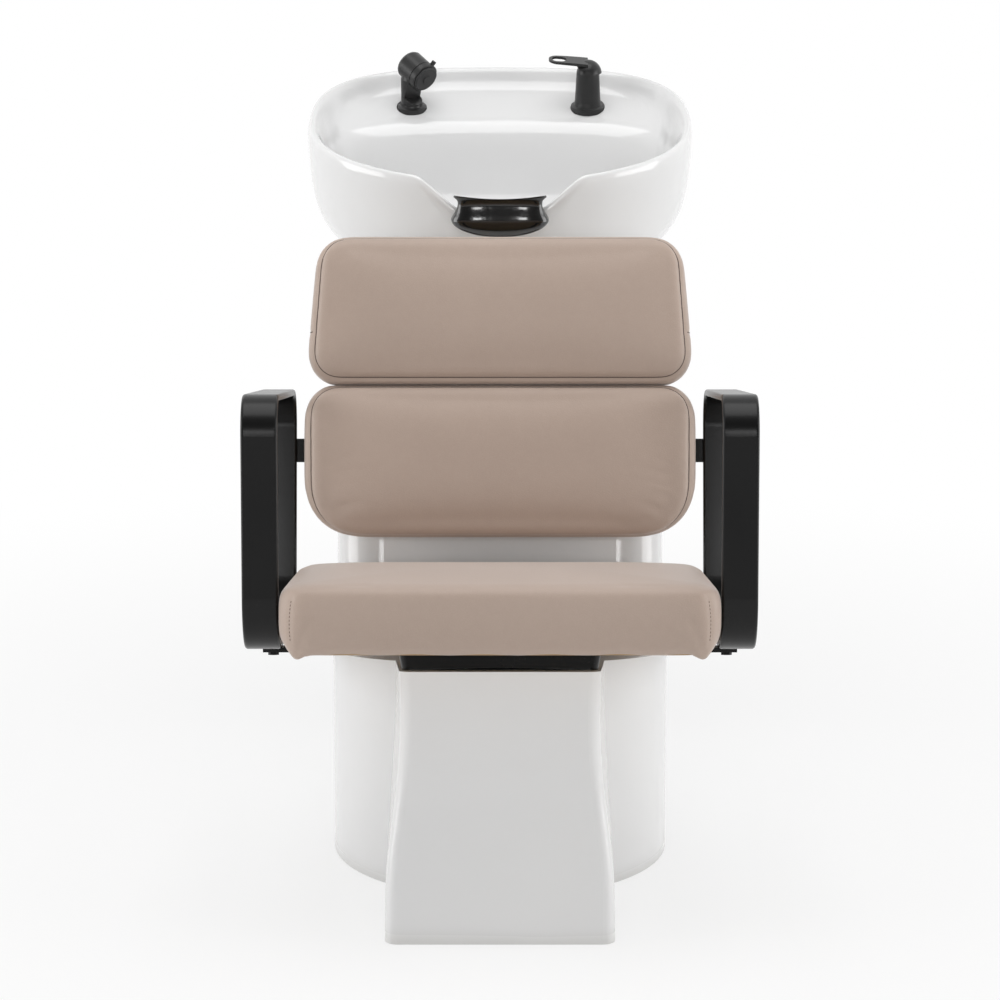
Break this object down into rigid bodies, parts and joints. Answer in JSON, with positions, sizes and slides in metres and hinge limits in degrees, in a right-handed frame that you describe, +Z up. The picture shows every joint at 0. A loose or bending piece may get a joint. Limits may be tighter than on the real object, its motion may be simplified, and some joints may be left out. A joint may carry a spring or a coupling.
{
  "type": "backwash unit",
  "caption": "Salon backwash unit: inclined armchair with loop armrests on a moulded base, tilting glazed basin with neck notch, lever mixer and hand shower.",
  "frame": {"origin": "on the floor, at the centre of the floor anchor holes", "axes": "+X to the sitter's left, +Y from the seat to the basin, +Z up"},
  "size_m": [0.646, 1.1807, 0.9977],
  "materials": {
    "white_moulding": "gloss white moulding",
    "glaze": "white glaze",
    "leatherette": "taupe leatherette, satin",
    "plywood": "plain plywood",
    "black_steel": "satin black",
    "gel": "glossy black gel",
    "black_tap": "matt black",
    "spray_plastic": "matt",
    "grey_steel": "grey primer",
    "zinc": "zinc plated",
    "bush_nylon": "matt",
    "brass_nut": "plain brass",
    "bright_waste": "polished",
    "rubber_mat": "matt"
  },
  "bodies": {
    "stand": {"arm_back_bolts": "black_steel", "arm_bar_front": "black_steel", "arm_bar_rear": "black_steel", "arm_bolts": "black_steel", "armrest_left": "black_steel", "armrest_right": "black_steel", "back_bar": "black_steel", "back_bolts": "zinc", "back_screws": "zinc", "back_spacers": "spray_plastic", "back_strap_left": "black_steel", "back_strap_right": "black_steel", "base_shell": "white_moulding", "floor_plate": "grey_steel", "front_post": "grey_steel", "hatch_cover": "white_moulding", "hatch_screws": "zinc", "hinge_bridge": "grey_steel", "hinge_collars": "zinc", "hinge_ear_left": "grey_steel", "hinge_ear_right": "grey_steel", "hinge_pin": "zinc", "lower_back_board": "plywood", "lower_back_cushion": "leatherette", "post_cap": "grey_steel", "seat_board": "plywood", "seat_bolts": "zinc", "seat_cushion": "leatherette", "seat_tray": "black_steel", "upper_back_board": "plywood", "upper_back_cushion": "leatherette", "upright_left": "grey_steel", "upright_right": "grey_steel"},
    "basin": {"basin": "glaze", "neck_rest": "gel", "carrier_plate": "grey_steel", "carrier_ear_left": "grey_steel", "carrier_ear_right": "grey_steel", "hinge_bushes": "bush_nylon", "basin_mats": "rubber_mat", "basin_studs": "zinc", "waste_body": "bright_waste", "strainer": "bright_waste", "waste_nut": "bush_nylon", "drain_tail": "bush_nylon", "mixer_body": "black_tap", "mixer_nut": "brass_nut", "shower_holder": "black_tap", "holder_nut": "brass_nut"},
    "cartridge": {"cartridge": "bush_nylon", "lever_pin": "zinc"},
    "lever": {"mixer_lever": "black_tap"},
    "handset": {"handset": "black_tap", "spray_face": "spray_plastic", "spray_disc": "spray_plastic"},
    "selector": {"selector_ring": "black_tap"}
  },
  "joints": [
    {"name": "basin_tilt", "type": "hinge", "parent": "stand", "child": "basin", "pos_m": [0, 0.33, 0.655], "axis": [-1, 0, 0], "range_deg": [0, 12]},
    {"name": "mixer_temperature", "type": "hinge", "parent": "basin", "child": "cartridge", "pos_m": [0.13, 0.56878, 0.96696], "axis": [0, -0.2147, 0.9767], "range_deg": [-45, 45]},
    {"name": "mixer_flow", "type": "hinge", "parent": "cartridge", "child": "lever", "pos_m": [0.13, 0.56878, 0.96696], "axis": [0, 0.9767, 0.2147], "range_deg": [0, 18]},
    {"name": "handset_lift", "type": "slide", "parent": "basin", "child": "handset", "axis": [0, -0.2147, 0.9767], "range_m": [0, 0.06]},
    {"name": "spray_select", "type": "hinge", "parent": "handset", "child": "selector", "pos_m": [-0.122, 0.56814, 0.96989], "axis": [0.6113, -0.6452, -0.4583], "range_deg": [-30, 30]}
  ]
}
